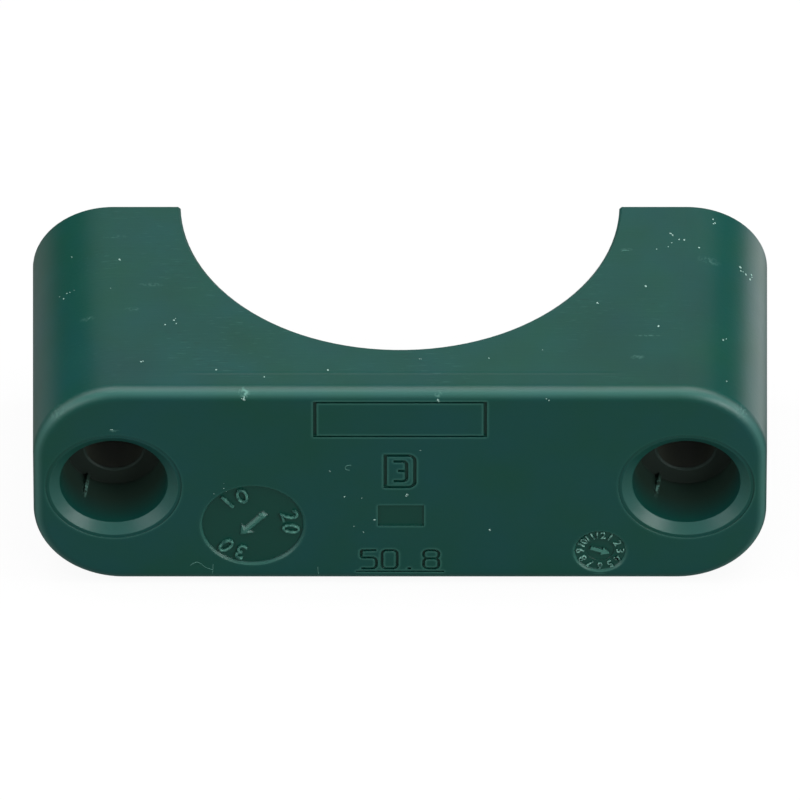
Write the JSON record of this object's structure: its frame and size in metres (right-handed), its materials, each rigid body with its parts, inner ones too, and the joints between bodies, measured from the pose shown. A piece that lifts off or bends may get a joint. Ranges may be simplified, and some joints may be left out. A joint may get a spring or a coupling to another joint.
{
  "type": "hydraulic tube clamp half",
  "caption": "Moulded half of a hydraulic tube clamp: drafted oblong block with a half-round tube seat and a bolt pocket and through hole at each end.",
  "frame": {"origin": "on the clamped tube's axis, midway across the clamp's width", "axes": "+X from bolt to bolt, +Y along the bolts from the outer face to the parting face, +Z along the tube"},
  "size_m": [0.0852, 0.0326, 0.0296],
  "materials": {
    "clamp_body": "dark green polypropylene, as moulded, satin"
  },
  "bodies": {
    "root": {"clamp_half": "clamp_body"}
  },
  "joints": []
}
